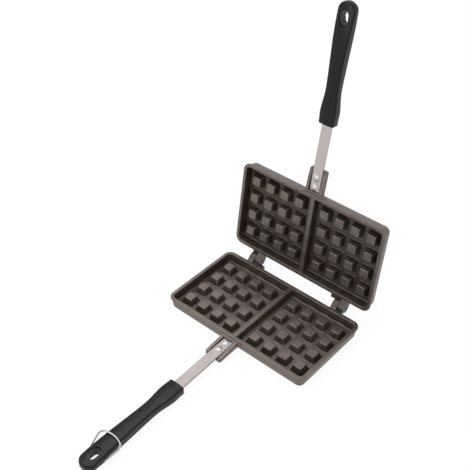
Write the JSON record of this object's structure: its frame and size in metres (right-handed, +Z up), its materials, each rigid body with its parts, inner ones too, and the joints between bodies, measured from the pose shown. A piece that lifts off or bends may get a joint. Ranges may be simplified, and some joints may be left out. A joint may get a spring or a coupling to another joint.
{
  "type": "stovetop waffle iron",
  "caption": "Hinged pair of cast plates with studded waffle cavities, riveted strip handles with moulded grips, and a wire bail that latches the grips.",
  "frame": {"origin": "centre of the lower plate's flat base, where it rests on the hob", "axes": "X along the hinge axis, -Y towards the grips, +Y towards the hinge, +Z up"},
  "size_m": [0.235, 0.4772, 0.415],
  "materials": {
    "lower_plate": "satin dark non-stick coating on cast aluminium",
    "upper_plate": "satin dark non-stick coating on cast aluminium",
    "handle_strip": "brushed",
    "rivet": "bright",
    "grip": "satin black",
    "hinge_pin": "plain",
    "bail_wire": "bright drawn wire"
  },
  "bodies": {
    "base": {"lower_plate": "lower_plate", "lower_handle_strip": "handle_strip", "lower_inner_rivet": "rivet", "lower_outer_rivet": "rivet", "lower_grip": "grip", "left_hinge_pin": "hinge_pin", "right_hinge_pin": "hinge_pin"},
    "lid": {"upper_plate": "upper_plate", "upper_handle_strip": "handle_strip", "upper_inner_rivet": "rivet", "upper_outer_rivet": "rivet", "upper_grip": "grip"},
    "bail": {"bail_latch": "bail_wire"}
  },
  "joints": [
    {"name": "lid_hinge", "type": "hinge", "parent": "base", "child": "lid", "pos_m": [0, 0.07684, 0.0175], "axis": [1, 0, 0], "range_deg": [0, 98.4]},
    {"name": "bail_swing", "type": "hinge", "parent": "base", "child": "bail", "pos_m": [0, -0.3012, 0.007], "axis": [1, 0, 0], "range_deg": [0, 320]}
  ]
}
